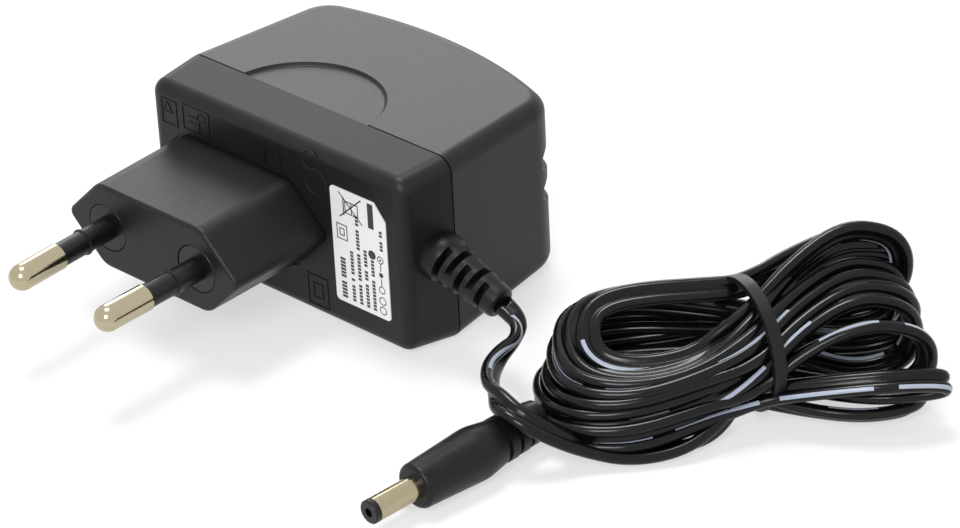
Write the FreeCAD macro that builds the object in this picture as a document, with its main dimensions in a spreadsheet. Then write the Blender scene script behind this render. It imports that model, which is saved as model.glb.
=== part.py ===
import FreeCAD, Part
import math
import os
import re

import Sketcher
from FreeCAD import Placement, Rotation, Vector

os.makedirs("parts", exist_ok=True)
doc = FreeCAD.newDocument("adapter")
sheet = doc.addObject("Spreadsheet::Sheet", "sizes")

# Drawing frame, mm: x to the right along the front face, y into the housing, z up.
# y = 0 is the front face, x = z = 0 is the axis of the plug block, the pins point to -y.
sizes = [
    # housing
    ("left_x", 17.55), ("front_right_x", 33.3), ("seam_right_x", 34.9), ("rear_inset", 2.0),
    ("seam_half", 15.0), ("front_fall", 0.9), ("rear_fall", 1.3),
    ("seam_y", 8.85), ("seam_line", 0.25), ("seam_line_depth", 0.75),
    ("rear_apex_y", 38.0), ("rear_apex_x", 5.68), ("crown_r", 65.85),
    ("long_edge_r", 2.5), ("front_edge_r", 2.0), ("rear_corner_r", 5.9),
    ("wall", 2.0), ("back_wall", 2.9), ("lip_inset", 1.1),
    ("lip_length", 1.5), ("lip_gap", 0.05), ("cavity_corner", 4.0),
    ("grip_r", 2.0), ("grip_depth", 0.7), ("grip_sweep_r", 52.0),
    ("grip_upper_z", 4.0), ("grip_lower_z", -1.1),
    ("thumb_x", 6.23), ("thumb_r", 12.53), ("thumb_back", 1.09), ("thumb_depth", 0.4), ("thumb_foot_r", 0.3),
    # plug block
    ("block_length", 17.77), ("block_root", 2.6), ("block_flat", 10.8), ("block_tip", 17.7),
    ("block_half", 6.87), ("block_taper", 0.6), ("block_long_r", 3.2), ("block_tip_r", 1.3),
    ("block_face_r", 0.6), ("block_wall", 2.0), ("block_end_wall", 3.5),
    ("witness_width", 0.4), ("witness_depth", 0.3),
    # pins
    ("pin_half_pitch", 9.18), ("pin_tilt", 1.2), ("pin_length", 19.0), ("pin_r", 2.0), ("shank_r", 1.5),
    ("shank_depth", 7.0), ("sleeve_length", 10.0), ("sleeve_r", 1.8), ("sleeve_ring_z", 5.0),
    ("sleeve_ring_r", 2.03), ("collar_r", 3.8), ("collar_depth", 3.0),
    ("collar_edge", 0.2), ("shank_gap", 0.15),
    # rating label
    ("label_left", 19.22), ("label_right", 29.96), ("label_half", 9.52), ("label_r", 0.7),
    ("label_cut_x", 2.1), ("label_cut_z", 2.6), ("label_thick", 0.15),
    # strain relief
    ("boot_y", 5.9), ("boot_z", 0.5), ("boot_seat_x", 33.6),
    ("boot_collar_r", 3.7), ("boot_collar_length", 1.6),
    ("boot_neck_r", 2.8), ("boot_wall", 2.2), ("boot_flange", 1.5),
    ("boot_droop", 18.6), ("boot_length", 11.6), ("boot_root_length", 1.5),
    ("boot_root_r", 3.4), ("boot_end_r", 2.4), ("boot_round", 0.8),
    ("boot_web", 1.8), ("boot_slot", 1.05), ("boot_slot_first", 1.5), ("boot_slot_pitch", 1.87),
    # circuit board and its parts
    ("board_side_gap", 2.6), ("board_front_gap", 2.0), ("board_back_gap", 0.7), ("board_corner", 4.0),
    ("board_lift", 3.2), ("board_thick", 1.6), ("boss_r", 2.4), ("boss_peg_r", 1.0), ("boss_peg_gap", 0.05),
    ("boss_peg_length", 2.2), ("boss_inset_x", 3.4), ("boss_inset_y", 4.0), ("boss_pitch_y", 9.8),
    ("core_x", 12.0), ("core_y", 18.4), ("core_width", 20.0), ("core_headroom", 2.8), ("core_thick", 5.2),
    ("core_leg", 2.6), ("core_centre_leg", 5.0), ("core_lift", 0.6), ("bobbin_gap", 0.1),
    ("bobbin_wall", 0.9), ("bobbin_flange", 1.0), ("bobbin_width", 14.4), ("bobbin_depth", 14.0),
    ("rail_depth", 3.4), ("winding_inset", 0.5),
    ("input_can_r", 3.95), ("input_can_height", 12.5), ("output_can_r", 3.8), ("output_can_height", 14.0),
    ("ripple_can_r", 2.5), ("ripple_can_height", 11.0), ("bead_z", 1.6),
    ("bead_half", 0.4), ("bead_depth", 0.35),
    ("can_edge_r", 0.5), ("can_rim", 0.9), ("can_dish", 0.25),
    ("drum_r", 2.6), ("drum_neck_r", 2.2), ("drum_height", 7.5), ("drum_flange", 1.1),
    ("resistor_r", 1.5), ("resistor_length", 6.8), ("diode_r", 1.3), ("diode_length", 3.6),
    ("output_diode_r", 2.0), ("output_diode_length", 5.6), ("lead_r", 0.35),
    ("lead_reach", 1.2), ("lead_lift", 0.3),
    ("diode_pitch", 3.8), ("package_length", 6.0), ("coupler_length", 4.6), ("package_width", 3.8),
    ("package_height", 2.8), ("package_lift", 0.6), ("pin_pitch", 2.54), ("flat_pin_width", 0.5),
    ("flat_pin_thick", 0.4), ("disc_r", 3.8), ("disc_thick", 3.6),
    ("disc_lift", 4.6), ("disc_leg_pitch", 5.0),
    # cord
    ("core_d", 1.8), ("wire_r", 0.65),
    # hank of cord
    ("hank_x", 77.7), ("hank_y", 22.3), ("hank_turn", 45.57), ("tie_r", 8.8), ("tie_thick", 0.9),
    ("tie_width", 1.8), ("tie_lean", 20.0), ("tie_gap", 0.55), ("tie_seat", 0.1),
    # barrel plug
    ("plug_tip_x", 58.883), ("plug_tip_y", -35.335), ("plug_turn", 4.4),
    ("barrel_r", 1.75), ("barrel_shank_r", 1.5), ("barrel_edge", 0.15), ("contact_floor", 0.6),
    ("barrel_wall", 0.3), ("contact_r", 1.05), ("hole_r", 0.675), ("insulator_nose", 0.95),
    ("barrel_out", 8.2), ("barrel_in", 5.0), ("grip_front_r", 3.3), ("grip_front_edge", 0.7),
    ("grip_back_r", 3.95), ("grip_length", 14.8), ("grip_shoulder", 3.4), ("grip_shoulder_r", 8.0),
    ("plug_tail_r", 3.35), ("plug_tail_end_r", 2.8), ("plug_tail_length", 8.27),
    ("plug_rib", 1.45), ("plug_rib_gap", 0.75), ("plug_rib_depth", 0.5), ("plug_rib_slope", 0.12),
]
names = {alias for alias, value in sizes}
for row, (alias, value) in enumerate(sizes, 1):
    sheet.set("A%d" % row, str(value))
    sheet.setAlias("A%d" % row, alias)
doc.recompute()

made = []


def full(text):
    def dotted(match):
        word = match.group(0)
        return "sizes." + word if word in names else word

    return re.sub(r"[A-Za-z_]\w*", dotted, str(text))


def num(text):
    return float(sheet.evalExpression(full(text)))


def bind(item, prop, text):
    item.setExpression(prop, full(text))


# the row frame has its origin under the middle of the housing, pins and strain relief
boot_end_x = ("boot_seat_x + boot_collar_length + boot_length*cos(boot_droop)"
              " + boot_end_r*sin(boot_droop)*0.78")
shift_x = "(-(%s) + left_x)/2" % boot_end_x
shift_y = "(block_length + pin_length - rear_apex_y)/2"
shift_z = "seam_half"


def seat(item, x="0", y="0", z="0", turn=None):
    if turn is not None:
        item.Placement = Placement(Vector(), turn)
    bind(item, ".Placement.Base.x", "%s + %s" % (x, shift_x))
    bind(item, ".Placement.Base.y", "%s + %s" % (y, shift_y))
    bind(item, ".Placement.Base.z", "%s + %s" % (z, shift_z))


# the crowned back is an arc with its highest point left of the housing's middle, so its two ends differ
crown_y = "(rear_apex_y - crown_r + sqrt(crown_r^2 - (%s - rear_apex_x)^2))"
rear_right_y = crown_y % "(seam_right_x - rear_inset)"
rear_left_y = crown_y % "(-left_x + rear_inset)"

# the board lies between the walls of the rear half, and its bosses stand on the floor
board_left = "(-left_x + wall + board_side_gap)"
board_right = "(seam_right_x - wall - board_side_gap)"
board_front = "(wall + board_front_gap)"
board_back = "(%s - back_wall - board_back_gap)" % rear_left_y
board_under = "(-seam_half + wall + board_lift)"
board_top = "(%s + board_thick)" % board_under
boss_places = [(x, "%s - boss_inset_y - %d*boss_pitch_y" % (board_back, row)) for row in (0, 1)
               for x in (board_left + " + boss_inset_x", board_right + " - boss_inset_x")]


def new_body(label):
    body = doc.addObject("PartDesign::Body", label)
    body.Label = label
    made.append(body)
    return body


def plane(body, role):
    return [f for f in body.Origin.OriginFeatures if f.Role == role][0]


def attach(item, body, role, offset=None, turn=None):
    item.AttachmentSupport = [(plane(body, role), "")]
    item.MapMode = "FlatFace"
    if turn is not None:
        item.AttachmentOffset = Placement(Vector(), turn)
    for axis, text in zip("xyz", offset or ()):
        bind(item, ".AttachmentOffset.Base." + axis, text)


def new_sketch(body, name, role, offset=None, turn=None):
    sk = body.newObject("Sketcher::SketchObject", name)
    attach(sk, body, role, offset, turn)
    return sk


def bound(sk, constraint, text):
    index = sk.addConstraint(constraint)
    sk.setExpression("Constraints[%d]" % index, full(text))


def fix_point(sk, item, end, x, y):
    bound(sk, Sketcher.Constraint("DistanceX", -1, 1, item, end, num(x)), x)
    bound(sk, Sketcher.Constraint("DistanceY", -1, 1, item, end, num(y)), y)


def corner(sk, before, at, after, radius):
    back = (before - at).normalize()
    ahead = (after - at).normalize()
    half = back.getAngle(ahead) / 2
    cut = radius / math.tan(half)
    middle = (back + ahead).normalize()
    centre = at + middle * (radius / math.sin(half))
    start = at + back * cut
    end = at + ahead * cut
    return start, centre - middle * radius, end


def loop(sk, points, arcs=None):
    """A closed outline through points, each (x, y) or (x, y, corner radius).

    arcs gives a curved side by its number: radius, a point that it bulges to and, for a half circle, its
    centre's x.
    """
    arcs = arcs or {}
    count = len(points)
    at = [Vector(num(p[0]), num(p[1]), 0) for p in points]
    starts, ends, rounds = {}, {}, {}
    for i, p in enumerate(points):
        starts[i] = ends[i] = at[i]
        if len(p) > 2:
            a, middle, b = corner(sk, at[i - 1], at[i], at[(i + 1) % count], num(p[2]))
            rounds[i] = sk.addGeometry(Part.Arc(a, middle, b))
            ends[i], starts[i] = a, b
    sides = []
    for i in range(count):
        j = (i + 1) % count
        if i in arcs:
            bulge = Vector(num(arcs[i][1][0]), num(arcs[i][1][1]), 0)
            side = sk.addGeometry(Part.Arc(starts[i], bulge, ends[j]))
            if len(arcs[i]) > 2:
                bound(sk, Sketcher.Constraint("DistanceX", -1, 1, side, 3, num(arcs[i][2])), arcs[i][2])
            else:
                bound(sk, Sketcher.Constraint("Radius", side, num(arcs[i][0])), arcs[i][0])
        else:
            side = sk.addGeometry(Part.LineSegment(starts[i], ends[j]))
        sides.append(side)

    def end_near(item, point):
        from_start = sk.getPoint(item, 1).distanceToPoint(point)
        from_end = sk.getPoint(item, 2).distanceToPoint(point)
        return 1 if from_start < from_end else 2

    for i, p in enumerate(points):
        before, after = sides[i - 1], sides[i]
        if i not in rounds:
            first, second = end_near(before, at[i]), end_near(after, at[i])
            sk.addConstraint(Sketcher.Constraint("Coincident", before, first, after, second))
            fix_point(sk, after, second, p[0], p[1])
            continue
        arc = rounds[i]
        sk.addConstraint(Sketcher.Constraint(
            "Tangent", before, end_near(before, ends[i]), arc, end_near(arc, ends[i])))
        sk.addConstraint(Sketcher.Constraint(
            "Tangent", after, end_near(after, starts[i]), arc, end_near(arc, starts[i])))
        bound(sk, Sketcher.Constraint("Radius", arc, num(p[2])), p[2])
        tip = sk.addGeometry(Part.Point(at[i]), True)
        fix_point(sk, tip, 1, p[0], p[1])
        sk.addConstraint(Sketcher.Constraint("PointOnObject", tip, 1, before))
        sk.addConstraint(Sketcher.Constraint("PointOnObject", tip, 1, after))


def circle(sk, x, y, radius):
    item = sk.addGeometry(Part.Circle(Vector(num(x), num(y), 0), Vector(0, 0, 1), num(radius)))
    fix_point(sk, item, 3, x, y)
    bound(sk, Sketcher.Constraint("Radius", item, num(radius)), radius)


def box_points(x0, x1, y0, y1, radius=None):
    points = [(x0, y0), (x1, y0), (x1, y1), (x0, y1)]
    return [p + (radius,) for p in points] if radius else points


def extrude(body, kind, name, sk, length, symmetric=False, reverse=False, taper=None):
    feature = body.newObject("PartDesign::" + kind, name)
    feature.Profile = sk
    if symmetric:
        feature.SideType = "Symmetric"
    feature.Reversed = reverse
    bind(feature, "Length", length)
    if taper:
        bind(feature, "TaperAngle", taper)
    doc.recompute()
    return feature


def revolve(body, kind, name, sk, axis="V_Axis"):
    feature = body.newObject("PartDesign::" + kind, name)
    feature.Profile = sk
    feature.ReferenceAxis = (sk, [axis])
    feature.Angle = 360
    doc.recompute()
    return feature


def fillet(body, name, radius, chosen):
    base = body.Tip
    edges = ["Edge%d" % (i + 1) for i, e in enumerate(base.Shape.Edges) if chosen(e.BoundBox, e)]
    feature = body.newObject("PartDesign::Fillet", name)
    feature.Base = (base, edges)
    bind(feature, "Radius", radius)
    doc.recompute()
    return feature


def bore(body, name, role, offset, turn, radius, height, top_radius=None):
    kind = "PartDesign::SubtractiveCone" if top_radius else "PartDesign::SubtractiveCylinder"
    feature = body.newObject(kind, name)
    attach(feature, body, role, offset, turn)
    if top_radius:
        bind(feature, "Radius1", radius)
        bind(feature, "Radius2", top_radius)
    else:
        bind(feature, "Radius", radius)
    bind(feature, "Height", height)
    doc.recompute()
    return feature


# housing: the front half carries the plug block, the rear half slides over its lip
front_half = "(seam_half - front_fall)"
rear_half = "(seam_half - rear_fall)"
inner_half = "(seam_half - rear_fall - wall)"


def hexagon_points(grow):
    """The block's six-sided outline, each side moved out by grow."""
    slant = "atan(block_half/(block_tip - block_flat))"
    tip = "(block_tip + (%s)/sin(%s))" % (grow, slant)
    half = "(block_half + (%s))" % grow
    flat = "(%s - %s/tan(%s))" % (tip, half, slant)
    tip_r = "(block_tip_r + 0.5*abs(%s))" % grow
    long_r = "(block_long_r + (%s))" % grow
    return [
        ("-" + tip, "0", tip_r), ("-" + flat, "-" + half, long_r), (flat, "-" + half, long_r),
        (tip, "0", tip_r), (flat, half, long_r), ("-" + flat, half, long_r),
    ]


def boot_slot_points(y_end, radius):
    return [
        ("boot_y", "boot_z - " + radius), (y_end, "boot_z - " + radius),
        (y_end, "boot_z + " + radius), ("boot_y", "boot_z + " + radius),
    ]


def inset_points(inset):
    """The housing's outline at the seam, each side moved in by inset."""
    return box_points("-left_x + " + inset, "seam_right_x - " + inset, "-seam_half + " + inset,
                      "seam_half - " + inset, "long_edge_r - " + inset)


def front_shell():
    body = new_body("front_shell")
    flare_end = "(seam_y - seam_line)"
    outlines = []
    for name, y, right, half in (
            ("front_outline", "0", "front_right_x", front_half),
            ("flare_outline", flare_end, "seam_right_x", "seam_half")):
        sk = new_sketch(body, name, "XZ_Plane", ("0", "0", "-" + y))
        loop(sk, box_points("-left_x", right, "-" + half, half, "long_edge_r"))
        outlines.append(sk)
    line_outline = new_sketch(body, "seam_line_outline", "XZ_Plane", ("0", "0", "-" + flare_end))
    loop(line_outline, inset_points("seam_line_depth"))
    doc.recompute()
    loft = body.newObject("PartDesign::AdditiveLoft", "flare")
    loft.Profile = outlines[1]
    loft.Sections = [outlines[0]]
    loft.Ruled = True
    doc.recompute()
    fillet(body, "front_edges", "front_edge_r", lambda b, e: b.YMax < 0.01)
    extrude(body, "Pad", "seam_line_band", line_outline, "seam_line", reverse=True)

    sk = new_sketch(body, "witness_outline", "XZ_Plane")
    loop(sk, hexagon_points("block_length*tan(block_taper) + witness_width"))
    extrude(body, "Pocket", "witness_groove", sk, "witness_depth")
    sk = new_sketch(body, "block_outline", "XZ_Plane", ("0", "0", "block_length"))
    loop(sk, hexagon_points("0"))
    extrude(body, "Pad", "block", sk, "block_length + block_root", reverse=True, taper="block_taper")
    face_y = -num("block_length")
    fillet(body, "block_face_edges", "block_face_r", lambda b, e: b.YMax < face_y + 0.01)

    sk = new_sketch(body, "lip_outline", "XZ_Plane", ("0", "0", "-seam_y"))
    loop(sk, inset_points("lip_inset"))
    extrude(body, "Pad", "lip", sk, "lip_length", reverse=True)
    sk = new_sketch(body, "cavity_outline", "XZ_Plane", ("0", "0", "-wall"))
    loop(sk, box_points("-left_x + wall", "front_right_x - wall + 0.2", "-%s + wall" % front_half,
                        front_half + " - wall", "long_edge_r"))
    extrude(body, "Pocket", "cavity", sk, "seam_y + lip_length")
    sk = new_sketch(body, "block_cavity_outline", "XZ_Plane", ("0", "0", "block_length - block_end_wall"))
    loop(sk, hexagon_points("-block_wall"))
    extrude(body, "Pocket", "block_cavity", sk, "block_length - block_end_wall + seam_y")

    for side, sign in (("left", -1), ("right", 1)):
        turn = Rotation(Vector(0, 1, 0), -sign * num("pin_tilt"))
        x = "%d*(pin_half_pitch + collar_depth*tan(pin_tilt))" % sign
        bore(body, side + "_collar_seat", "XZ_Plane", (x, "0", "block_length - collar_depth"), turn,
             "collar_r", "collar_depth + 2")
        x = "%d*(pin_half_pitch + 5*tan(pin_tilt))" % sign
        bore(body, side + "_shank_hole", "XZ_Plane", (x, "0", "block_length - 5"), turn,
             "shank_r + shank_gap", "4")

    sk = new_sketch(body, "boot_slot", "YZ_Plane", ("0", "0", "seam_right_x + 1"))
    loop(sk, boot_slot_points("seam_y + lip_length + 1", "boot_neck_r"),
         {3: ("boot_neck_r", ("boot_y - boot_neck_r", "boot_z"), "boot_y")})
    extrude(body, "Pocket", "boot_opening", sk, "seam_right_x + 1 - boot_seat_x + boot_wall + boot_flange")
    bore(body, "boot_seat", "YZ_Plane", ("boot_y", "boot_z", "boot_seat_x"), None, "boot_collar_r", "4")
    seat(body)


def rear_shell():
    body = new_body("rear_shell")
    mid_x = "(seam_right_x - left_x)/2"
    sk = new_sketch(body, "plan", "XY_Plane")
    loop(sk, [("-left_x", "seam_y"), ("seam_right_x", "seam_y"), ("seam_right_x - rear_inset", rear_right_y),
              ("-left_x + rear_inset", rear_left_y)], {2: ("crown_r", ("rear_apex_x", "rear_apex_y"))})
    extrude(body, "Pad", "outer", sk, "2*seam_half", symmetric=True)
    sk = new_sketch(body, "draft", "YZ_Plane", ("0", "0", mid_x))
    fall = "rear_fall/(rear_apex_y - seam_y)"
    far_z = "(seam_half - %s*(rear_apex_y + 2 - seam_y))" % fall
    for sign in ("", "-"):
        loop(sk, [("seam_y", sign + "seam_half"), ("rear_apex_y + 2", sign + far_z),
                  ("rear_apex_y + 2", "%s(seam_half + 2)" % sign), ("seam_y", "%s(seam_half + 2)" % sign)])
    extrude(body, "Pocket", "top_and_bottom_draft", sk, "4*seam_right_x", symmetric=True)
    fillet(body, "rear_corners", "rear_corner_r",
           lambda b, e: b.ZLength > 20 and b.YMin > num(rear_right_y) - 0.1)
    seam = num("seam_y")
    fillet(body, "long_edges", "long_edge_r",
           lambda b, e: b.YMax > seam + 0.1 and b.ZLength < 3 and abs(b.ZMax) + abs(b.ZMin) > 20)

    for name, z in (("upper_grip", "grip_upper_z"), ("lower_grip", "grip_lower_z")):
        sk = new_sketch(body, name + "_section", "YZ_Plane", ("0", "0", "rear_apex_x"))
        circle(sk, "rear_apex_y - grip_depth + grip_r", z, "grip_r")
        line = sk.addGeometry(Part.LineSegment(
            Vector(num("rear_apex_y - grip_depth - grip_sweep_r"), num(z) - 5, 0),
            Vector(num("rear_apex_y - grip_depth - grip_sweep_r"), num(z) + 5, 0)), True)
        fix_point(sk, line, 1, "rear_apex_y - grip_depth - grip_sweep_r", z + " - 5")
        fix_point(sk, line, 2, "rear_apex_y - grip_depth - grip_sweep_r", z + " + 5")
        revolve(body, "Groove", name, sk, "Axis0")

    slope = math.degrees(math.atan(num(fall)))
    for name, sign in (("upper_thumb_rest", 1), ("lower_thumb_rest", -1)):
        turn = Rotation(Vector(1, 0, 0), -slope) if sign > 0 else Rotation(Vector(1, 0, 0), 180 + slope)
        bore(body, name, "XY_Plane",
             ("thumb_x", "seam_y - thumb_back", "%d*(seam_half - thumb_depth)" % sign), turn,
             "thumb_r - thumb_depth", "2", "thumb_r - thumb_depth + 2")
    foot_r = num("thumb_r - thumb_depth")
    fillet(body, "thumb_rest_foot", "thumb_foot_r",
           lambda b, e: e.Curve.TypeId == "Part::GeomCircle" and abs(e.Curve.Radius - foot_r) < 0.001)

    inner_y = "(%s - back_wall)" % rear_left_y
    sk = new_sketch(body, "cavity_plan", "XY_Plane")
    loop(sk, [("-left_x + wall", "seam_y"), ("seam_right_x - wall", "seam_y"),
              ("seam_right_x - rear_inset - wall", rear_right_y + " - 1.2*cavity_corner"),
              ("seam_right_x - rear_inset - wall - cavity_corner", inner_y),
              ("-left_x + rear_inset + wall + cavity_corner", inner_y),
              ("-left_x + rear_inset + wall", inner_y + " - cavity_corner")])
    extrude(body, "Pocket", "cavity", sk, "2*" + inner_half, symmetric=True)
    sk = new_sketch(body, "cavity_height", "YZ_Plane", ("0", "0", mid_x))
    draft_y = "(%s - rear_corner_r)" % rear_left_y
    draft_half = "(%s + rear_fall/6)" % inner_half
    loop(sk, [("seam_y", "-seam_half + wall"), (draft_y, "-" + draft_half), (draft_y, draft_half),
              ("seam_y", "seam_half - wall")])
    extrude(body, "Pocket", "cavity_draft", sk, "seam_right_x + left_x - 2*rear_inset - 2*wall",
            symmetric=True)
    sk = new_sketch(body, "rebate_outline", "XZ_Plane", ("0", "0", "-seam_y"))
    loop(sk, inset_points("(lip_inset - lip_gap)"))
    extrude(body, "Pocket", "rebate", sk, "lip_length + 2*lip_gap")

    sk = new_sketch(body, "boss_circles", "XY_Plane", ("0", "0", board_under))
    for x, y in boss_places:
        circle(sk, x, y, "boss_r")
    extrude(body, "Pad", "bosses", sk, "board_lift + 0.4", reverse=True)
    sk = new_sketch(body, "peg_circles", "XY_Plane", ("0", "0", board_under))
    for x, y in boss_places:
        circle(sk, x, y, "boss_peg_r")
    extrude(body, "Pad", "pegs", sk, "boss_peg_length")

    sk = new_sketch(body, "boot_tab", "YZ_Plane", ("0", "0", "seam_right_x - 0.2"))
    end = "seam_y + lip_length + 1"
    side = "sqrt(boot_neck_r^2 - (boot_neck_r - 0.3)^2)"
    loop(sk, [("boot_y + " + side, "boot_z - boot_neck_r + 0.3"), (end, "boot_z - boot_neck_r + 0.3"),
              (end, "boot_z + boot_neck_r - 0.3"), ("boot_y + " + side, "boot_z + boot_neck_r - 0.3")],
         {3: ("boot_neck_r", ("boot_y + boot_neck_r", "boot_z"))})
    extrude(body, "Pad", "tab", sk, "seam_right_x - 0.2 - boot_seat_x + boot_wall", reverse=True)
    bore(body, "boot_seat", "YZ_Plane", ("boot_y", "boot_z", "boot_seat_x"), None, "boot_collar_r", "4")
    seat(body)


# mains pins
def pin_turn(sign):
    return Rotation(Vector(0, 0, 1), -sign * num("pin_tilt")) * Rotation(Vector(1, 0, 0), 90)


def mains_pin(side, sign):
    body = new_body("mains_pin_" + side)
    sk = new_sketch(body, "profile", "XZ_Plane")
    loop(sk, [("0", "-shank_depth"), ("shank_r", "-shank_depth"), ("shank_r", "sleeve_length"),
              ("pin_r", "sleeve_length"), ("pin_r", "pin_length - pin_r"), ("0", "pin_length")],
         {4: ("pin_r", ("pin_r*cos(45)", "pin_length - pin_r + pin_r*sin(45)"))})
    revolve(body, "Revolution", "turned_pin", sk)
    seat(body, "%d*pin_half_pitch" % sign, "-block_length", "0", pin_turn(sign))


def pin_sleeve(side, sign):
    body = new_body("pin_sleeve_" + side)
    sk = new_sketch(body, "profile", "XZ_Plane")
    loop(sk, [("shank_r", "-collar_depth"), ("collar_r", "-collar_depth"), ("collar_r", "-collar_edge"),
              ("collar_r - collar_edge", "0"), ("sleeve_r", "0"), ("sleeve_r", "sleeve_ring_z - 0.2"),
              ("sleeve_ring_r", "sleeve_ring_z - 0.1"), ("sleeve_ring_r", "sleeve_ring_z + 0.1"),
              ("sleeve_r", "sleeve_ring_z + 0.2"), ("sleeve_r", "sleeve_length"),
              ("shank_r", "sleeve_length")])
    revolve(body, "Revolution", "moulded_sleeve", sk)
    seat(body, "%d*pin_half_pitch" % sign, "-block_length", "0", pin_turn(sign))


def rating_label():
    body = new_body("rating_label")
    sk = new_sketch(body, "outline", "XZ_Plane")
    loop(sk, [("label_left", "-label_half", "label_r"), ("label_right", "-label_half", "label_r"),
              ("label_right", "label_half - label_cut_z"), ("label_right - label_cut_x", "label_half"),
              ("label_left", "label_half", "label_r")])
    extrude(body, "Pad", "film", sk, "label_thick")
    seat(body)


# strain relief: a collar in the seam, then a drooping tail with slots cut from alternate sides
def strain_relief():
    body = new_body("strain_relief")
    sk = new_sketch(body, "neck_profile", "XZ_Plane")
    loop(sk, [("0", "-boot_wall - boot_flange"), ("boot_collar_r", "-boot_wall - boot_flange"),
              ("boot_collar_r", "-boot_wall"), ("boot_neck_r", "-boot_wall"), ("boot_neck_r", "0"),
              ("boot_collar_r", "0"), ("boot_collar_r", "boot_collar_length"),
              ("0", "boot_collar_length + boot_collar_r")],
         {6: ("boot_collar_r", ("boot_collar_r*cos(45)", "boot_collar_length + boot_collar_r*sin(45)"))})
    revolve(body, "Revolution", "neck", sk)
    droop = num("boot_droop")
    lean = Rotation(Vector(0, 0, 1), -droop)
    sk = new_sketch(body, "tail_profile", "XZ_Plane", ("0", "boot_collar_length", "0"), lean)
    loop(sk, [("0", "0"), ("boot_root_r", "0"), ("boot_root_r", "boot_root_length"),
              ("boot_end_r", "boot_length", "boot_round"), ("0", "boot_length")])
    revolve(body, "Revolution", "tail", sk)
    deep = "2*boot_collar_r"
    for index in range(5):
        along = "(boot_slot_first + %d*boot_slot_pitch)" % index
        if index % 2:
            sk = new_sketch(body, "side_slot_%d" % index, "XZ_Plane", ("0", "boot_collar_length", "0"), lean)
        else:
            tip = Rotation(Vector(1, 0, 0), droop)
            sk = new_sketch(body, "top_slot_%d" % index, "YZ_Plane", ("0", "boot_collar_length", "0"), tip)
        for sign in ("", "-"):
            loop(sk, box_points(sign + "boot_web/2", sign + "boot_collar_r", along + " - boot_slot/2",
                                along + " + boot_slot/2"))
        extrude(body, "Pocket", "slots_%d" % index, sk, deep, symmetric=True)
    seat(body, "boot_seat_x", "boot_y", "boot_z", Rotation(Vector(0, 1, 0), 90))


# circuit board and what stands on it
def block_solid(name, x, y, z, length, width, height):
    box = doc.addObject("Part::Box", name)
    bind(box, "Length", length)
    bind(box, "Width", width)
    bind(box, "Height", height)
    seat(box, x, y, z)
    return box


def joined(label, kind, base, tools):
    if kind == "cut":
        item = doc.addObject("Part::Cut", label)
        item.Base = base
        item.Tool = tools[0]
    else:
        item = doc.addObject("Part::MultiFuse", label)
        item.Shapes = [base] + tools
    item.Label = label
    return item


def named(item):
    made.append(item)
    return item


def circuit_board():
    body = new_body("circuit_board")
    sk = new_sketch(body, "outline", "XY_Plane", ("0", "0", board_under))
    loop(sk, [(board_left, board_front), (board_right, board_front),
              (board_right, board_back + " - board_corner"), (board_right + " - board_corner", board_back),
              (board_left + " + board_corner", board_back), (board_left, board_back + " - board_corner")])
    for x, y in boss_places:
        circle(sk, x, y, "boss_peg_r + boss_peg_gap")
    extrude(body, "Pad", "laminate", sk, "board_thick")
    seat(body)


def transformer():
    body = new_body("transformer_core")
    base = "(%s + core_lift)" % board_top
    core_height = "(%s - core_headroom - %s)" % (inner_half, base)
    left = "(core_x - core_width/2)"
    sk = new_sketch(body, "core_outline", "XZ_Plane", ("0", "0", "-core_y - core_thick/2"))
    loop(sk, box_points(left, left + " + core_width", base, base + " + " + core_height))
    window = "((core_width - core_centre_leg)/2 - core_leg)"
    for x in (left + " + core_leg", "core_x + core_centre_leg/2"):
        loop(sk, box_points(x, "%s + %s" % (x, window),
                            base + " + core_leg", "%s + %s - core_leg" % (base, core_height)))
    extrude(body, "Pad", "ferrite", sk, "core_thick")
    seat(body)

    low = base + " + core_leg + bobbin_gap/2"
    tall = "(%s - 2*core_leg - bobbin_gap)" % core_height
    tube_x = "(core_centre_leg + bobbin_gap + 2*bobbin_wall)"
    tube_y = "(core_thick + bobbin_gap + 2*bobbin_wall)"
    tube = block_solid("bobbin_tube", "core_x - %s/2" % tube_x, "core_y - %s/2" % tube_y, low,
                       tube_x, tube_y, tall)
    parts = []
    for name, z in (("bobbin_lower", low), ("bobbin_upper", "%s + %s - bobbin_flange" % (low, tall))):
        parts.append(block_solid(name, "core_x - bobbin_width/2", "core_y - bobbin_depth/2", z,
                                 "bobbin_width", "bobbin_depth", "bobbin_flange"))
    for name, y in (("rail_front", "core_y - bobbin_depth/2"),
                    ("rail_back", "core_y + bobbin_depth/2 - rail_depth")):
        parts.append(block_solid(name, "core_x - bobbin_width/2", y, board_top, "bobbin_width", "rail_depth",
                                 "core_lift + core_leg + bobbin_gap/2"))
    solid = joined("bobbin_solid", "fuse", tube, parts)
    hole = block_solid("bobbin_hole", "core_x - (core_centre_leg + bobbin_gap)/2",
                       "core_y - (core_thick + bobbin_gap)/2", low + " - 5", "core_centre_leg + bobbin_gap",
                       "core_thick + bobbin_gap", core_height + " + 5")
    named(joined("transformer_bobbin", "cut", solid, [hole]))

    coil_x = "(bobbin_width - 2*winding_inset)"
    coil_y = "(bobbin_depth - 2*winding_inset)"
    outer = block_solid("winding_outer", "core_x - %s/2" % coil_x, "core_y - %s/2" % coil_y,
                        low + " + bobbin_flange", coil_x, coil_y, "%s - 2*bobbin_flange" % tall)
    inner = block_solid("winding_inner", "core_x - %s/2" % tube_x, "core_y - %s/2" % tube_y, low,
                        tube_x, tube_y, tall)
    named(joined("transformer_winding", "cut", outer, [inner]))


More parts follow.
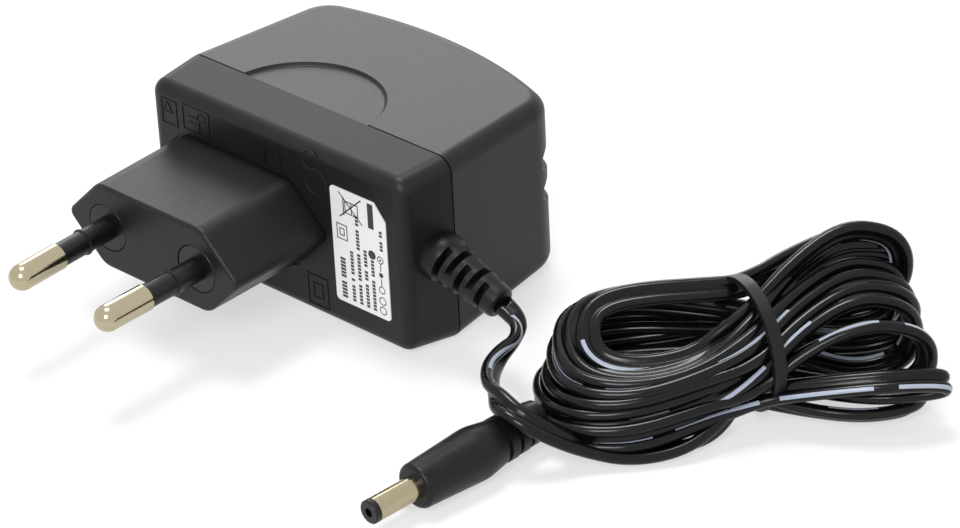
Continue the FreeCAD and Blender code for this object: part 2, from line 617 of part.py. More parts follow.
def capacitor(label, x, y, radius, height):
    body = new_body(label)
    sk = new_sketch(body, "can_profile", "XZ_Plane")
    loop(sk, [("0", "0"), (radius, "0"), (radius, "bead_z - bead_half"), (radius + " - bead_depth", "bead_z"),
              (radius, "bead_z + bead_half"), (radius, height, "can_edge_r"), (radius + " - can_rim", height),
              (radius + " - can_rim - can_dish", height + " - can_dish"), ("0", height + " - can_dish")])
    revolve(body, "Revolution", "can", sk)
    seat(body, x, y, board_top)


def inductor(label, x, y):
    body = new_body(label)
    sk = new_sketch(body, "drum_profile", "XZ_Plane")
    upper = "drum_height - drum_flange"
    loop(sk, [("0", "0"), ("drum_r", "0"), ("drum_r", "drum_flange"), ("drum_neck_r", "drum_flange"),
              ("drum_neck_r", upper), ("drum_r", upper), ("drum_r", "drum_height"), ("0", "drum_height")])
    revolve(body, "Revolution", "drum", sk)
    seat(body, x, y, board_top)


def axial(label, x, y, radius, length, along):
    """A round part lying over the board on its two bent leads."""
    turn = Rotation(Vector(0, 1, 0), 90) if along == "x" else Rotation(Vector(1, 0, 0), -90)
    lift = "%s + %s + lead_lift" % (board_top, radius)

    def lying(name, thick, extra):
        rod = doc.addObject("Part::Cylinder", label + name)
        bind(rod, "Radius", thick)
        bind(rod, "Height", "%s + 2*%s" % (length, extra))
        back = "(%s/2 + %s)" % (length, extra)
        if along == "x":
            seat(rod, "%s - %s" % (x, back), y, lift, turn)
        else:
            seat(rod, x, "%s - %s" % (y, back), lift, turn)
        return rod

    items = [lying("_case", radius, "0"), lying("_stem", "lead_r", "lead_reach")]
    for sign in (-1, 1):
        leg = doc.addObject("Part::Cylinder", "%s_leg_%d" % (label, sign + 1))
        bind(leg, "Radius", "lead_r")
        bind(leg, "Height", "%s + lead_lift + lead_r" % radius)
        reach = "%d*(%s/2 + lead_reach - lead_r)" % (sign, length)
        if along == "x":
            seat(leg, "%s + %s" % (x, reach), y, board_top)
        else:
            seat(leg, x, "%s + %s" % (y, reach), board_top)
        items.append(leg)
    named(joined(label, "fuse", items[0], items[1:]))


def chip(label, x, y, length):
    """A moulded package with two rows of flat pins standing on the board."""
    case = block_solid(label + "_case", "%s - %s/2" % (x, length), y + " - package_width/2",
                       board_top + " + package_lift", length, "package_width", "package_height")
    legs = []
    for index in (-1, 1):
        for sign in (-1, 1):
            at = "%s + %d*pin_pitch/2" % (x, index)
            legs.append(block_solid(
                "%s_pin_%d_%d" % (label, index + 1, sign + 1), at + " - flat_pin_width/2",
                "%s + %d*(package_width + flat_pin_thick)/2 - flat_pin_thick/2 - %d*0.1" % (y, sign, sign),
                board_top, "flat_pin_width", "flat_pin_thick", "package_lift + package_height/2"))
    named(joined(label, "fuse", case, legs))


def safety_capacitor(x, y):
    disc = doc.addObject("Part::Cylinder", "disc")
    bind(disc, "Radius", "disc_r")
    bind(disc, "Height", "disc_thick")
    seat(disc, x, y, board_top + " + disc_lift", Rotation(Vector(1, 0, 0), 90))
    legs = [block_solid("disc_leg_%d" % (sign + 1), "%s + %d*disc_leg_pitch/2 - flat_pin_width/2" % (x, sign),
                        y + " - disc_thick/2 - flat_pin_thick/2", board_top,
                        "flat_pin_width", "flat_pin_thick", "disc_lift")
            for sign in (-1, 1)]
    named(joined("safety_capacitor", "fuse", disc, legs))


# cords and wires
def rounded_route(points):
    """Straight runs joined by tangent arcs; the radius follows the shorter neighbour run."""
    points = [Vector(*p) for p in points]
    edges, radii = [], []
    start = points[0]
    for a, b, c in zip(points, points[1:], points[2:]):
        back, ahead = (a - b), (c - b)
        turn = math.pi - back.getAngle(ahead)
        radius = 0.45 * min(back.Length, ahead.Length) / math.tan(turn / 2)
        cut = radius * math.tan(turn / 2)
        radii.append(round(radius, 2))
        first = b + Vector(back).normalize() * cut
        last = b + Vector(ahead).normalize() * cut
        inward = (Vector(back).normalize() + Vector(ahead).normalize()).normalize()
        centre = b + inward * (radius / math.cos(turn / 2))
        edges.append(Part.LineSegment(start, first).toShape())
        edges.append(Part.Arc(first, centre - inward * radius, last).toShape())
        start = last
    edges.append(Part.LineSegment(start, points[-1]).toShape())
    return Part.Wire(edges), radii


def flat_section(start, direction, width, thick):
    """Outline of two round cores side by side, upright to the route at its start."""
    direction = Vector(direction).normalize()
    side = Vector(0, 0, 1).cross(direction).normalize()
    up = direction.cross(side)
    r = thick / 2
    web = 0.62 * r
    reach = width / 2 - r
    cut_u = reach - math.sqrt(r * r - web * web)

    def at(u, v):
        return start + side * u + up * v

    edges = [
        Part.LineSegment(at(-cut_u, web), at(cut_u, web)).toShape(),
        Part.Arc(at(cut_u, web), at(reach + r, 0), at(cut_u, -web)).toShape(),
        Part.LineSegment(at(cut_u, -web), at(-cut_u, -web)).toShape(),
        Part.Arc(at(-cut_u, -web), at(-reach - r, 0), at(-cut_u, web)).toShape(),
    ]
    return Part.Wire(edges)


def swept(label, points, section, area):
    route, radii = rounded_route(points)
    pipe = Part.BRepOffsetAPI.MakePipeShell(route)
    pipe.setFrenetMode(False)
    pipe.add(section)
    pipe.build()
    pipe.makeSolid()
    feature = doc.addObject("Part::Feature", label)
    feature.Label = label
    feature.Shape = pipe.shape()
    seat(feature)
    made.append(feature)
    print(label, "length %.1f" % route.Length, "radii", radii,
          "volume ratio %.3f" % (feature.Shape.Volume / (area * route.Length)))


def cord(label, points):
    thick = num("core_d")
    width = 2 * thick
    section = flat_section(Vector(*points[0]), Vector(*points[1]) - Vector(*points[0]), width, thick)
    swept(label, points, section, Part.Face(section).Area)


def wire(label, points):
    direction = Vector(*points[1]) - Vector(*points[0])
    section = Part.Wire([Part.Circle(Vector(*points[0]), direction, num("wire_r")).toShape()])
    swept(label, points, section, math.pi * num("wire_r") ** 2)


boot_end = (
    num("boot_seat_x + boot_collar_length + boot_length*cos(boot_droop)"), num("boot_y"),
    num("boot_z - boot_length*sin(boot_droop)"),
)
plug_z = num("-seam_half + grip_back_r")
plug_rear_z = num("barrel_out + grip_length + plug_tail_length")
plug_heading = (math.sin(math.radians(num("plug_turn"))), math.cos(math.radians(num("plug_turn"))), 0)
plug_rear = (
    num("plug_tip_x") + plug_rear_z * plug_heading[0],
    num("plug_tip_y") + plug_rear_z * plug_heading[1], plug_z,
)
droop = math.radians(num("boot_droop"))
lead_route = [
    boot_end, (boot_end[0] + 3.2 * math.cos(droop), boot_end[1], boot_end[2] - 3.2 * math.sin(droop)),
    (51.2, 3.2, -5.7), (51.6, -0.6, -6.2), (53.3, -4.8, -6.2), (57.2, -8.8, -6.1), (62.7, -10.9, -6.0),
    (66.9, -8.6, -8.6), (70.0, -4.4, -12.2), (74.6, -0.4, -13.9), (79.0, 5.0, -13.7), (81.4, 10.6, -12.4),
    (80.6, 16.6, -9.8),
]
tail_route = [
    plug_rear, (plug_rear[0] + 3.8 * plug_heading[0], plug_rear[1] + 3.8 * plug_heading[1], plug_z),
    (61.0, 3.8, -10.2), (60.4, 7.6, -8.4),
]


def hank():
    """Closed outer shape of the tied hank: elliptical sections along its length, middles above the floor."""
    turn = num("hank_turn")
    along = Vector(math.cos(math.radians(turn)), math.sin(math.radians(turn)), 0)
    depth_way = Vector(along.y, -along.x, 0)
    up = Vector(0, 0, 1)
    facing = Rotation(depth_way, up, depth_way.cross(up), "ZXY")
    neck = "(tie_r*cos(tie_lean) - tie_gap)"
    sections = [
        (-30, "4.0", "3.4", "5.5"), (-26, "8.0", "6.6", "6.7"), (-17, "12.5", "9.4", "9.5"),
        (-4.4, neck, "tie_r - tie_seat", "tie_r + tie_thick"),
        (4.4, neck, "tie_r - tie_seat", "tie_r + tie_thick"),
        (15, "15.0", "10.8", "10.9"), (24, "12.5", "9.0", "9.1"), (28.5, "5.0", "4.0", "6.0"),
    ]
    rings = []
    for index, (s, deep, tall, z) in enumerate(sections):
        ring = doc.addObject("Part::Ellipse", "hank_section_%d" % index)
        upright = num(deep) < num(tall)
        bind(ring, "MajorRadius", tall if upright else deep + " + 0.001")
        bind(ring, "MinorRadius", deep if upright else tall)
        roll = Rotation(Vector(0, 0, 1), 90 if upright else 0)
        seat(ring, "hank_x + %s*cos(hank_turn)" % s, "hank_y + %s*sin(hank_turn)" % s, "-seam_half + " + z,
             facing * roll)
        rings.append(ring)
    loft = doc.addObject("Part::Loft", "cord_bundle")
    loft.Sections = rings
    loft.Solid = True
    loft.Ruled = True
    loft.Label = "cord_bundle"
    made.append(loft)

    across = Rotation(Vector(0, 0, 1), turn + num("tie_lean")) * Rotation(Vector(0, 1, 0), 90)
    back = "tie_width/2*%s(hank_turn + tie_lean)"
    bands = []
    for name, radius in (("tie_outer", "tie_r + tie_thick"), ("tie_inner", "tie_r + 0.001")):
        band = doc.addObject("Part::Cylinder", name)
        bind(band, "Radius", radius)
        bind(band, "Height", "tie_width")
        seat(band, "hank_x - " + back % "cos", "hank_y - " + back % "sin",
             "-seam_half + tie_r + tie_thick", across)
        bands.append(band)
    named(joined("cord_tie", "cut", bands[0], [bands[1]]))


# barrel plug
def plug_part(label, points, arcs=None):
    body = new_body(label)
    sk = new_sketch(body, "profile", "XZ_Plane")
    loop(sk, points, arcs)
    revolve(body, "Revolution", "turned", sk)
    turn = Rotation(Vector(0, 0, 1), -num("plug_turn")) * Rotation(Vector(1, 0, 0), -90)
    seat(body, "plug_tip_x", "plug_tip_y", "-seam_half + grip_back_r", turn)


def barrel_plug():
    inside = "(barrel_out + barrel_in)"
    grip_end = "(barrel_out + grip_length)"
    lining = "barrel_shank_r - barrel_wall"
    points = [("0", inside), ("barrel_shank_r", inside), ("barrel_shank_r", "barrel_out"),
              ("grip_front_r", "barrel_out", "grip_front_edge"),
              ("grip_back_r", grip_end + " - grip_shoulder", "grip_shoulder_r"), ("plug_tail_r", grip_end)]
    for index in range(3):
        at = "(%s + %d*(plug_rib + plug_rib_gap))" % (grip_end, index)
        outer = "(plug_tail_r - (plug_tail_r - plug_tail_end_r)*(%s - %s)/plug_tail_length)" % (at, grip_end)
        floor = outer + " - plug_rib_depth"
        points += [(floor, at + " + plug_rib_slope"), (floor, at + " + plug_rib_gap - plug_rib_slope"),
                   (outer, at + " + plug_rib_gap"), (outer, at + " + plug_rib_gap + plug_rib")]
    points += [("plug_tail_end_r", grip_end + " + plug_tail_length"), ("0", grip_end + " + plug_tail_length")]
    plug_part("plug_body", points)
    step = "barrel_out - barrel_wall"
    plug_part("plug_barrel", [
        ("barrel_r - barrel_wall", "insulator_nose"), ("barrel_r", "insulator_nose"),
        ("barrel_r", "barrel_out"), ("barrel_shank_r", "barrel_out"), ("barrel_shank_r", inside),
        (lining, inside), (lining, step),
        ("barrel_r - barrel_wall", step)])
    plug_part("plug_insulator", [
        ("hole_r", "0"), ("barrel_r - barrel_edge", "0"), ("barrel_r", "barrel_edge"),
        ("barrel_r", "insulator_nose"),
        ("barrel_r - barrel_wall", "insulator_nose"), ("barrel_r - barrel_wall", step), (lining, step),
        (lining, inside), ("contact_r", inside), ("contact_r", "insulator_nose"),
        ("hole_r", "insulator_nose")])
    plug_part("plug_contact", [("hole_r", "insulator_nose"), ("contact_r", "insulator_nose"),
                               ("contact_r", inside), ("0", inside), ("0", inside + " - contact_floor"),
                               ("hole_r", inside + " - contact_floor")])


front_shell()
rear_shell()
for side, sign in (("left", -1), ("right", 1)):
    mains_pin(side, sign)
    pin_sleeve(side, sign)
rating_label()
strain_relief()
circuit_board()
transformer()
capacitor("input_capacitor_front", board_left + " + 4.4", "11.6", "input_can_r", "input_can_height")
capacitor("input_capacitor_back", board_left + " + 8.3", "21.2", "input_can_r", "input_can_height")
capacitor("output_capacitor", board_right + " - 4.1", "22.1", "output_can_r", "output_can_height")
capacitor("ripple_capacitor", board_right + " - 4.4", "12.7", "ripple_can_r", "ripple_can_height")
inductor("filter_inductor", board_left + " + 9.7", board_back + " - 2.8")
axial("fusible_resistor", board_left + " + 11.5", "12.0", "resistor_r", "resistor_length", "y")
for index in range(4):
    axial("rectifier_diode_%d" % (index + 1), "%s + 14.5 + %d*diode_pitch" % (board_left, index), "7.3",
          "diode_r", "diode_length", "y")
axial("output_diode", board_right + " - 11.0", "7.0", "output_diode_r", "output_diode_length", "x")
chip("switching_chip", "core_x - 8.6", board_back + " - 2.4", "package_length")
chip("optocoupler", "core_x + 6.8", board_back + " - 2.4", "coupler_length")
safety_capacitor("core_x - 0.4", board_back + " - 0.6")
lean = math.radians(num("pin_tilt"))
pin_back = -num("block_length - shank_depth")
board_top_z = num(board_top)
for side, sign, middle in (
        ("left", -1, [(-9.5, -1.5, -1.2), (-10.2, 3.2, -3.0), (-10.6, 5.6, -5.0), (-10.6, 5.6, board_top_z)]),
        ("right", 1, [(4.2, -2.0, -0.8), (-1.6, 2.9, -2.6), (-5.2, 5.6, -5.0), (-5.2, 5.6, board_top_z)])):
    x = sign * (num("pin_half_pitch") + num("shank_depth") * math.tan(lean))
    wire("mains_wire_" + side, [
        (x, pin_back, 0), (x + sign * 4.5 * math.sin(lean), pin_back + 4.5 * math.cos(lean), 0)] + middle)
flange_x = num("boot_seat_x - boot_wall - boot_flange")
edge_x = num(board_right)
for name, way, end in (("positive", 1, (edge_x - 4.7, 8.3)), ("negative", -1, (edge_x - 2.4, 6.9))):
    y = num("boot_y") + way * 0.85
    z = num("boot_z") + way * 0.95
    wire("output_wire_" + name, [
        (flange_x, y, z), (flange_x - 2.0, y, z), (end[0], end[1], z - 3.6), (end[0], end[1], board_top_z)])
cord("cord_lead", lead_route)
cord("cord_tail", tail_route)
hank()
barrel_plug()

doc.recompute()
for item in doc.Objects:
    bad = [state for state in item.State if state in ("Invalid", "Error")]
    if bad:
        raise RuntimeError("%s: %s" % (item.Label, bad))
for item in made:
    shape = item.Shape
    if shape.isNull() or not shape.isValid() or shape.Volume <= 0:
        raise RuntimeError("%s has no valid solid" % item.Label)
    if len(shape.Solids) != 1:
        raise RuntimeError("%s has %d solids" % (item.Label, len(shape.Solids)))
    shape.exportStep("parts/%s.step" % item.Label)
    box = shape.optimalBoundingBox()
    print("%-24s x %6.2f %6.2f  y %6.2f %6.2f  z %6.2f %6.2f  %9.1f mm3" % (
        item.Label, box.XMin, box.XMax, box.YMin, box.YMax, box.ZMin, box.ZMax, shape.Volume))
print(len(made), "nodes")
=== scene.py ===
import math

import bpy
from mathutils import Matrix, Quaternion, Vector


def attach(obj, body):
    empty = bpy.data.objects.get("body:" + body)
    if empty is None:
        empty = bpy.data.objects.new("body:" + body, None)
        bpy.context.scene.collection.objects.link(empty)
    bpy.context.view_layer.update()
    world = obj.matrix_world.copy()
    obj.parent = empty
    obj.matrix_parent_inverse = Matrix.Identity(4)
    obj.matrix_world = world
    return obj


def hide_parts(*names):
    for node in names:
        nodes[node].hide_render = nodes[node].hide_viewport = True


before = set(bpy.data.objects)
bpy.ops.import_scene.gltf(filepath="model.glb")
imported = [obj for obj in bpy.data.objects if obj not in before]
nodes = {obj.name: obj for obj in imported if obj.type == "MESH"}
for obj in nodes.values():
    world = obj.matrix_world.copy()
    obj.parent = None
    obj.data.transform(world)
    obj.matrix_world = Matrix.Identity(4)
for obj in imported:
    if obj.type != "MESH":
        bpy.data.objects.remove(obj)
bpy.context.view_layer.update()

mm = 0.001


# colours, nodes and finishes

def toLinear(hexColour):
    # sRGB hex to the linear values that the sockets take
    values = []
    for at in (1, 3, 5):
        part = int(hexColour[at:at + 2], 16) / 255
        values.append(part / 12.92 if part <= 0.04045 else ((part + 0.055) / 1.055) ** 2.4)
    return (*values, 1)


def addNode(tree, kind, settings=None, sockets=None):
    # settings are the node's own choices; a socket takes a value, or a link from another node's output
    node = tree.nodes.new(kind)
    for name, value in (settings or {}).items():
        setattr(node, name, value)
    for name, value in (sockets or {}).items():
        if isinstance(value, bpy.types.NodeSocket):
            tree.links.new(value, node.inputs[name])
        else:
            node.inputs[name].default_value = value
    return node


def startMaterial(name):
    material = bpy.data.materials.new(name)
    material.use_nodes = True
    material.node_tree.nodes.clear()
    return material, material.node_tree


# nearly all of the noise lies between low and high; its finer layers show by strength
noise = {"low": 0.3, "high": 0.7, "layers": 2, "strength": 0.55}


def makeFinish(name, look, pattern=None):
    # noise whose grains have a real size drives roughness and bump; it also blends the two colours, unless
    # the look has wider clouds for them, or a pattern takes its place
    material, tree = startMaterial(name)
    place = addNode(tree, "ShaderNodeTexCoord")
    drawn = addNode(tree, "ShaderNodeMapping", {}, {
        "Vector": place.outputs["Object"], "Scale": look.get("stretch", (1, 1, 1))})
    grain = addNode(tree, "ShaderNodeTexNoise", {}, {
        "Vector": drawn.outputs["Vector"], "Scale": 1 / (look["grain"] * mm),
        "Detail": look.get("layers", noise["layers"]), "Roughness": noise["strength"]})
    amount = grain.outputs["Fac"]
    if pattern:
        amount = pattern(tree, place.outputs["UV"])
    elif "cloud" in look:
        cloud = addNode(tree, "ShaderNodeTexNoise", {}, {
            "Vector": drawn.outputs["Vector"], "Scale": 1 / (look["cloud"] * mm),
            "Detail": noise["layers"], "Roughness": noise["strength"]})
        amount = cloud.outputs["Fac"]
    tint = addNode(tree, "ShaderNodeMix", {"data_type": "RGBA"}, {
        0: amount, 6: toLinear(look["colours"][0]), 7: toLinear(look["colours"][-1])})
    smoothest, roughest = look["roughness"]
    gloss = addNode(tree, "ShaderNodeMapRange", {}, {
        "Value": grain.outputs["Fac"], "From Min": noise["low"], "From Max": noise["high"],
        "To Min": smoothest, "To Max": roughest})
    sockets = {
        "Base Color": tint.outputs[2], "Roughness": gloss.outputs["Result"],
        "Metallic": look.get("metallic", 0), "Specular IOR Level": look.get("level", 0.5)}
    if "ior" in look:
        sockets["IOR"] = look["ior"]
    if "bump" in look:
        depth, strength = look["bump"]
        bump = addNode(tree, "ShaderNodeBump", {}, {
            "Height": grain.outputs["Fac"], "Distance": depth * mm, "Strength": strength})
        sockets["Normal"] = bump.outputs["Normal"]
    shader = addNode(tree, "ShaderNodeBsdfPrincipled", {}, sockets)
    addNode(tree, "ShaderNodeOutputMaterial", {}, {"Surface": shader.outputs["BSDF"]})
    return material


# every look: the parts that wear it, the colours it blends, its roughness at its smoothest and roughest, its
# grain in millimetres, the depth in millimetres and strength of its bump, and level, the strength of its
# reflections where it is less than the usual one
looks = {
    # injection-moulded ABS, spark-eroded: the gloss breaks up into a soft satin sheen over faint clouds of
    # colour; the real grain is about 0.1 mm and is drawn coarser, so that it shows
    "mouldedAbsBlack": {
        "on": ["front_shell", "rear_shell"], "colours": ["#121113", "#171618"], "roughness": (0.38, 0.48),
        "grain": 0.22, "layers": 3, "cloud": 9.0, "bump": (0.02, 0.55), "ior": 1.52, "level": 0.25},
    # nickel plating on turned brass: a warm, slightly dull mirror with faint rings from the lathe
    "nickelPlatedBrass": {
        "on": ["mains_pin_left", "mains_pin_right"], "colours": ["#b4ab90"], "roughness": (0.08, 0.19),
        "grain": 2.0, "stretch": (0.5, 14.0, 0.5), "bump": (0.01, 0.25), "metallic": 1},
    # the same plating on the thin drawn barrel: darker and a little duller
    "nickelPlatedBarrel": {
        "on": ["plug_barrel"], "colours": ["#aca387"], "roughness": (0.12, 0.23),
        "grain": 2.0, "stretch": (0.5, 14.0, 0.5), "bump": (0.01, 0.25), "metallic": 1},
    # tin plating on the contact inside the barrel: pale and soft, its reflections blurred
    "tinPlatedContact": {
        "on": ["plug_contact"], "colours": ["#c9c4b8"], "roughness": (0.26, 0.37),
        "grain": 2.0, "stretch": (0.5, 14.0, 0.5), "bump": (0.01, 0.25), "metallic": 1},
    # moulded PBT: hard, smooth, a little glossier than the housing
    "mouldedPbtBlack": {
        "on": ["pin_sleeve_left", "pin_sleeve_right", "plug_insulator"], "colours": ["#0c0c0d"],
        "roughness": (0.3, 0.4), "grain": 0.8, "ior": 1.55, "level": 0.28},
    # soft moulded PVC: smooth skin with a waxy bloom in slow waves
    "softPvcBlack": {
        "on": ["strain_relief", "plug_body"], "colours": ["#0e0e0f", "#141416"], "roughness": (0.31, 0.44),
        "grain": 1.6, "bump": (0.02, 0.3), "ior": 1.53, "level": 0.22},
    # the tie's PVC coating: the same bloom, a little paler and more matt
    "softPvcTie": {
        "on": ["cord_tie"], "colours": ["#101011", "#161617"], "roughness": (0.35, 0.48),
        "grain": 1.6, "bump": (0.02, 0.3), "ior": 1.53, "level": 0.22},
    # polyester film with a clear coat: flat white with an even, slightly silky gloss
    "printedPolyesterFilm": {
        "on": ["rating_label"], "colours": ["#e8e8e7", "#f0f0ef"], "roughness": (0.3, 0.3), "grain": 3.0,
        "ior": 1.57},
    # phenolic paper laminate: brown with mottled fibres under a dull resin skin
    "phenolicPaperLaminate": {
        "on": ["circuit_board"], "colours": ["#a5814a", "#b18d55"], "roughness": (0.45, 0.55), "grain": 1.2},
    # ground ferrite: dark grey ceramic with a fine, dry sparkle
    "groundFerrite": {
        "on": ["transformer_core"], "colours": ["#36363a", "#404044"], "roughness": (0.4, 0.5), "grain": 0.4},
    # moulded phenolic: near black and semi-matt
    "mouldedPhenolic": {
        "on": ["transformer_bobbin"], "colours": ["#1e1e20", "#262628"], "roughness": (0.4, 0.5),
        "grain": 0.6},
    # polyester winding tape: bright yellow film, smooth and glossy over its wraps
    "polyesterTape": {
        "on": ["transformer_winding"], "colours": ["#e0b52c", "#e9c140"], "roughness": (0.23, 0.33),
        "grain": 2.5},
    # transfer-moulded epoxy of the chips: dark grey with a fine eroded matt
    "mouldedEpoxy": {
        "on": ["switching_chip", "optocoupler"], "colours": ["#232325", "#2b2b2d"], "roughness": (0.45, 0.55),
        "grain": 0.3},
    # the diodes' epoxy: the same, a little smoother
    "mouldedEpoxyDiode": {
        "on": ["rectifier_diode_1", "rectifier_diode_2", "rectifier_diode_3", "rectifier_diode_4",
               "output_diode"],
        "colours": ["#222224", "#2a2a2c"], "roughness": (0.4, 0.5), "grain": 0.4},
    # dipped epoxy: blue, glossy, pooled in soft waves
    "dippedEpoxyBlue": {
        "on": ["safety_capacitor"], "colours": ["#2f5fae", "#3a6bb8"], "roughness": (0.25, 0.35),
        "grain": 1.5},
    # lacquered ceramic: dull green with a thin uneven glaze
    "lacqueredCeramic": {
        "on": ["fusible_resistor"], "colours": ["#7fa693", "#8db09f"], "roughness": (0.35, 0.45),
        "grain": 0.8},
    # extruded PVC on the wires: plain colours with a soft sheen
    "pvcWireBrown": {
        "on": ["mains_wire_left"], "colours": ["#6f4224", "#7a4a2a"], "roughness": (0.35, 0.45),
        "grain": 1.0},
    "pvcWireBlue": {
        "on": ["mains_wire_right"], "colours": ["#24529c", "#2c5ba6"], "roughness": (0.35, 0.45),
        "grain": 1.0},
    "pvcWireRed": {
        "on": ["output_wire_positive"], "colours": ["#a8201c", "#b32a24"], "roughness": (0.35, 0.45),
        "grain": 1.0},
    "pvcWireBlack": {
        "on": ["output_wire_negative"], "colours": ["#1c1c1e", "#242426"], "roughness": (0.35, 0.45),
        "grain": 1.0},
    # shrink sleeve on the capacitors and the inductor: thin glossy film drawn tight
    "shrinkSleeveNavy": {
        "on": ["input_capacitor_front", "input_capacitor_back", "output_capacitor", "ripple_capacitor"],
        "colours": ["#1f2a4a", "#263254"], "roughness": (0.23, 0.33), "grain": 1.8},
    "shrinkSleeveBlack": {
        "on": ["filter_inductor"], "colours": ["#1b1b1d", "#232325"], "roughness": (0.25, 0.35),
        "grain": 1.8},
}

materials = {}
for name, look in looks.items():
    materials[name] = makeFinish(name, look)
    for part in look["on"]:
        data = nodes[part].data
        data.materials.clear()
        data.materials.append(materials[name])
print("finishes made:", len(materials))


# the flat cord: a smooth line through the route and the hank's turns, with the two-core section along it

cord = {
    "width": 3.6, "coreRadius": 0.9, "webHalf": 0.34, "sectionSteps": 9, "smoothSteps": 6,
    # the exit from the strain relief, over the plug and into the hank, in metres
    "leadRoute": [
        (0.031573, 0.005285, 0.0118), (0.034606, 0.005285, 0.010779), (0.03658, 0.002585, 0.0093),
        (0.03698, -0.001215, 0.0088), (0.03868, -0.005415, 0.0088), (0.04258, -0.009415, 0.0089),
        (0.04808, -0.011515, 0.0090), (0.05228, -0.009215, 0.0064), (0.05538, -0.005015, 0.0028),
        (0.05998, -0.001015, 0.0011), (0.06438, 0.004385, 0.0013), (0.06678, 0.009985, 0.0026),
        (0.06598, 0.015985, 0.0052),
    ],
    # the way from one core to the other along the lead
    "leadFacing": [
        (0, 1, 0), (-0.2, 0.9, -0.2), (-0.6, 0.6, -0.5), (-0.2, 0.45, -0.9), (0.4, 0.2, -0.9),
        (0.7, -0.3, -0.4), (0.3, -0.9, -0.3), (0.5, -0.8, -0.3), (0.5, -0.6, 0.1), (0.6, -0.7, 0.1),
        (0.65, -0.7, 0.25), (0.3, -0.3, 0.9), (0.3, -0.3, 0.9),
    ],
    # from the hank to the rear of the plug, in metres
    "tailRoute": [
        (0.04578, 0.006985, 0.0066), (0.04638, 0.003185, 0.0048), (0.046953, -0.000983, 0.00395),
        (0.046662, -0.004771, 0.00395),
    ],
    "tailFacing": [(0, 0, 1), (0, 0, 1), (0, 0, 1), (0, 0, 1)],
}
# each turn goes out to the right over the fan and comes back below it, then round the left lobe; numbers are
# millimetres: reach along the hank, then (depth away from the viewer, height above the floor)
hank = {
    "centre": (0.0630795, 0.021685), "turn": math.radians(45.57),
    "right": [
        {"reach": 22.5, "out": (-9.0, 2.2), "back": (-1.0, 1.8), "roll": -55},
        {"reach": 25.8, "out": (-10.9, 8.9), "back": (-8.6, 5.6), "roll": 5},
        {"reach": 24.1, "out": (-5.0, 14.5), "back": (-3.4, 2.2), "roll": 40, "other": (0, 9)},
        {"reach": 22.9, "out": (-0.5, 16.2), "back": (3.0, 2.0), "roll": 35, "other": (0, 9)},
        {"reach": 23.0, "out": (2.5, 16.4), "back": (6.5, 4.4), "roll": 35},
        {"reach": 22.8, "out": (5.5, 16.7), "back": (8.0, 2.4), "roll": 35, "other": (0, 9)},
        {"reach": 21.9, "out": (8.0, 17.2), "back": (10.5, 4.8), "roll": 35},
        {"reach": 21.6, "out": (9.8, 18.0), "back": (14.5, 17.2), "roll": 40, "droop": 3.0, "other": (4, 9)},
        {"reach": 22.3, "out": (9.0, 21.7), "back": (9.0, 9.5), "roll": 65},
    ],
    "left": [
        {"reach": 27.5, "out": (3.0, 1.8), "back": (-13.2, 2.2), "roll": 60},
        {"reach": 29.1, "out": (6.0, 2.2), "back": (-13.4, 4.5), "roll": 30},
        {"reach": 29.6, "out": (8.5, 3.2), "back": (-12.3, 6.1), "roll": 5},
        {"reach": 28.2, "out": (9.5, 4.6), "back": (-11.9, 7.5), "roll": 10},
        {"reach": 27.0, "out": (10.5, 8.0), "back": (-10.8, 8.7), "roll": 35, "hold": 0.65},
        {"reach": 25.9, "out": (10.0, 11.6), "back": (-9.4, 9.7), "roll": 45, "hold": 0.75},
        {"reach": 24.2, "out": (8.5, 13.6), "back": (-7.7, 9.9), "roll": 75, "hold": 0.75, "other": (0, 9)},
        {"reach": 22.4, "out": (4.0, 16.4), "back": (-5.5, 10.3), "roll": 80, "hold": 0.78, "other": (0, 4)},
    ],
    # where each pass goes through the tie, and the height of the tie's middle
    "passesOut": [(-4.8, 3.5), (-6.6, 5.3), (-7.5, 7.2), (-7.7, 9.15), (-7.2, 11.0), (-6.1, 12.5),
                  (-4.6, 13.7), (-2.8, 14.4), (-0.6, 14.8)],
    "passesBack": [(0.5, 2.4), (3.3, 3.1), (5.6, 4.9), (7.2, 7.4), (5.0, 9.4), (7.2, 9.8), (6.5, 11.0),
                   (4.4, 16.1), (1.5, 6.2)],
    "tieMiddle": 9.7,
    # a lobe's points beside the tie: share of its reach, and of the way from the tie to the lobe's side; on
    # the way back the lobe's own hold, where it has one, is the second of them
    "besideTie": (0.30, 0.60),
    # then, up to its end: share of the reach, of the way from the lobe's middle to its side, and how much of
    # the roll turns the cores across the hank and along it
    "towardsEnd": [(0.62, 1.0, 1.0, 0.0), (0.88, 0.86, 0.8, 0.5), (1.0, 0.40, 0.3, 0.95)],
}


def lobePoints(side, lobe, before, after):
    # one lobe of a turn as (point, facing) pairs: out along one side, round the end and back along the other
    first, second, before, after = (Vector(place) for place in (lobe["out"], lobe["back"], before, after))
    middle = (first + second) / 2 - Vector((0, lobe.get("droop", 0)))
    across = (first - second).normalized()
    normal = Vector((-across.y, across.x))
    tilt = math.radians(lobe["roll"])
    reached, leaving = hank["besideTie"]
    steps = [(reached, before.lerp(first, leaving), 1.0, 0.0)]
    for share, part, spread, along in hank["towardsEnd"]:
        steps.append((share, middle.lerp(first, part), spread, along))
    for share, part, spread, along in reversed(hank["towardsEnd"]):
        steps.append((share, middle.lerp(second, part), -spread, along))
    steps.append((reached, after.lerp(second, lobe.get("hold", leaving)), -1.0, 0.0))
    pairs = []
    for share, at, spread, along in steps:
        flat = normal * math.cos(tilt) + across * math.sin(tilt) * spread
        facing = Vector((along * math.sin(tilt) * side, flat.x, flat.y))
        pairs.append((Vector((side * lobe["reach"] * share, at.x, at.y)), facing))
    return pairs


